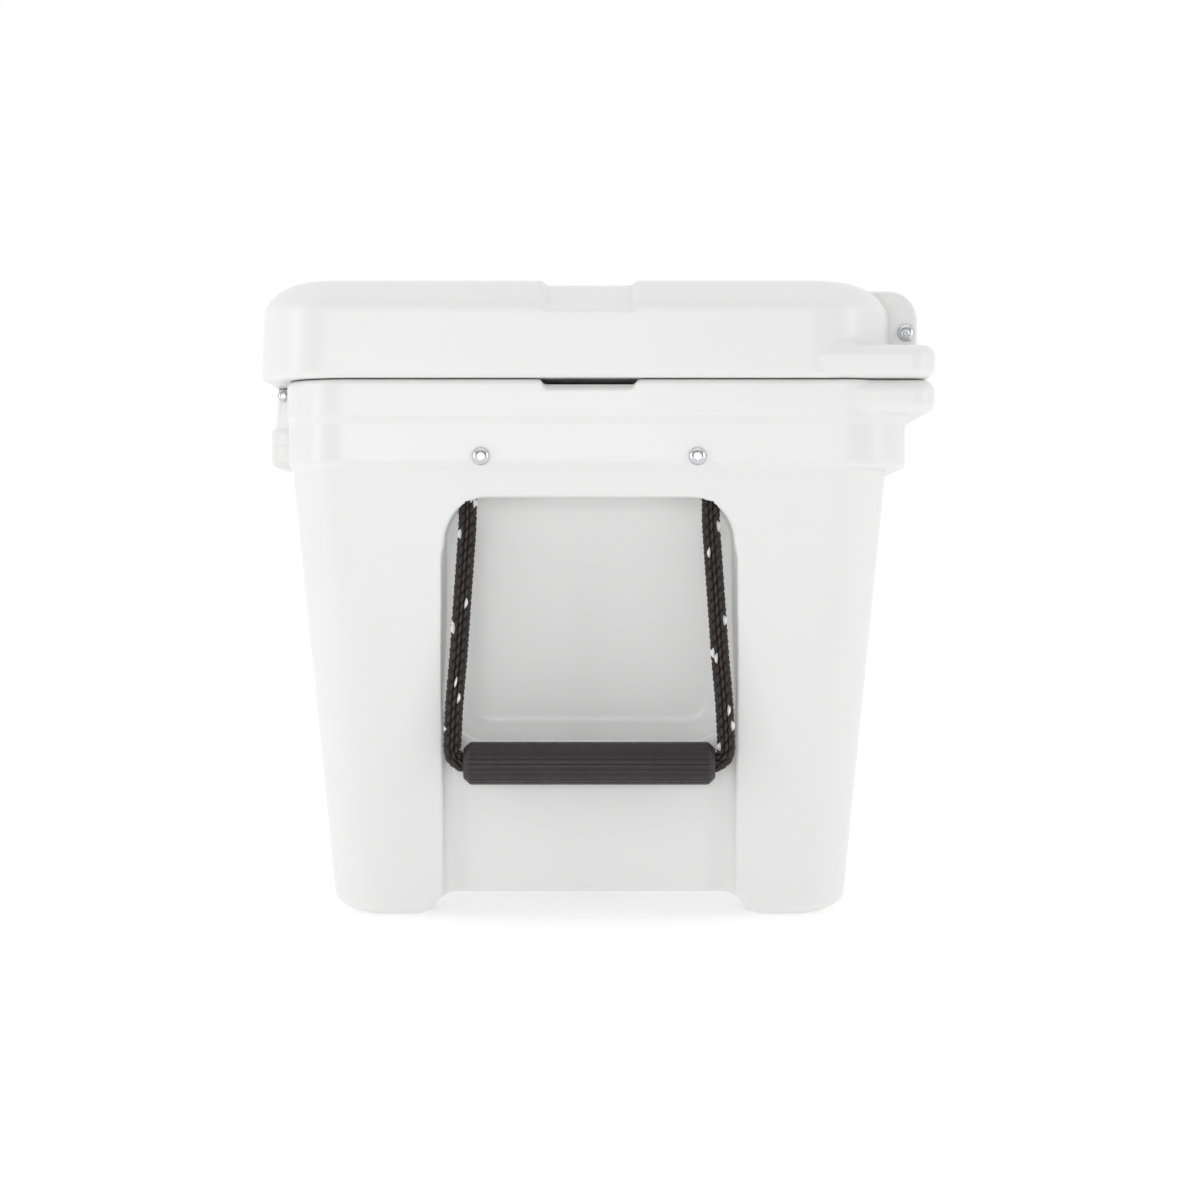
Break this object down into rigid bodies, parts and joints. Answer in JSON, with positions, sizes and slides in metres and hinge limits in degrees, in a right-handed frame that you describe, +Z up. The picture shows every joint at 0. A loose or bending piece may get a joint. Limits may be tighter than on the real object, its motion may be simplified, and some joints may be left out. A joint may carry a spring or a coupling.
{
  "type": "cooler chest",
  "caption": "Rotomoulded insulated cooler chest with hinged lid, rope handles, rubber T latches, end drain and strap slots.",
  "frame": {"origin": "on the floor under the middle of the chest's bounding box", "axes": "+X along the length (right end as seen from the front), -Y the front with the latches, +Y the rear with the hinges, +Z up"},
  "size_m": [0.654, 0.41, 0.388],
  "materials": {
    "polyethylene_white": "satin",
    "polyurethane_foam": "matte",
    "rubber_dark": "matte",
    "rubber_grey": "matte",
    "rope_dark": "matte",
    "stainless_steel": "gloss",
    "seal_rubber": "matte"
  },
  "bodies": {
    "chest": {"body_shell": "polyethylene_white", "body_foam": "polyurethane_foam", "drain_fitting": "polyethylene_white", "drain_nut": "polyethylene_white", "body_fill_plug_left": "polyethylene_white", "latch_rod_left": "stainless_steel", "foot_left_front": "rubber_grey", "handle_screw_left_front": "stainless_steel", "foot_left_rear": "rubber_grey", "handle_screw_left_rear": "stainless_steel", "latch_screw_left_inner": "stainless_steel", "latch_screw_left_outer": "stainless_steel", "body_fill_plug_right": "polyethylene_white", "latch_rod_right": "stainless_steel", "foot_right_front": "rubber_grey", "handle_screw_right_front": "stainless_steel", "foot_right_rear": "rubber_grey", "handle_screw_right_rear": "stainless_steel", "latch_screw_right_inner": "stainless_steel", "latch_screw_right_outer": "stainless_steel"},
    "lid": {"lid_shell": "polyethylene_white", "lid_foam": "polyurethane_foam", "lid_gasket": "seal_rubber", "lid_fill_plug_left": "polyethylene_white", "lid_fill_plug_right": "polyethylene_white", "hinge_rod_left": "stainless_steel", "hinge_rod_right": "stainless_steel", "hinge_screw_left_inner": "stainless_steel", "hinge_screw_left_outer": "stainless_steel", "hinge_screw_right_inner": "stainless_steel", "hinge_screw_right_outer": "stainless_steel"},
    "handle_left": {"handle_grip_left": "rubber_dark", "handle_rope_left": "rope_dark"},
    "latch_left": {"latch_left": "rubber_dark"},
    "handle_right": {"handle_grip_right": "rubber_dark", "handle_rope_right": "rope_dark"},
    "latch_right": {"latch_right": "rubber_dark"},
    "drain_seal": {"drain_seal": "rubber_grey"},
    "drain_plug": {"drain_plug": "rubber_grey"}
  },
  "joints": [
    {"name": "lid_hinge", "type": "hinge", "parent": "chest", "child": "lid", "pos_m": [0, 0.192, 0.3585], "axis": [-1, 0, 0], "range_deg": [0, 105]},
    {"name": "handle_left_swing", "type": "hinge", "parent": "chest", "child": "handle_left", "pos_m": [-0.309, -0.0042, 0.247], "axis": [0, 1, 0], "range_deg": [0, 90], "deforming": ["handle_rope_left"]},
    {"name": "latch_left_swing", "type": "hinge", "parent": "chest", "child": "latch_left", "pos_m": [-0.19, -0.1975, 0.3215], "axis": [1, 0, 0], "range_deg": [0, 140]},
    {"name": "handle_right_swing", "type": "hinge", "parent": "chest", "child": "handle_right", "pos_m": [0.309, -0.0042, 0.247], "axis": [0, -1, 0], "range_deg": [0, 90], "deforming": ["handle_rope_right"]},
    {"name": "latch_right_swing", "type": "hinge", "parent": "chest", "child": "latch_right", "pos_m": [0.19, -0.1975, 0.3215], "axis": [1, 0, 0], "range_deg": [0, 140]},
    {"name": "drain_slide", "type": "slide", "parent": "chest", "child": "drain_seal", "axis": [-1, 0, 0], "range_m": [0, 0.012]},
    {"name": "drain_turn", "type": "hinge", "parent": "drain_seal", "child": "drain_plug", "pos_m": [-0.291, -0.0042, 0.062], "axis": [-1, 0, 0], "range_deg": [0, 1440]}
  ],
  "couplings": [
    {"joint": "drain_slide", "follows": "drain_turn", "m_per_rad": 0.00047746}
  ]
}
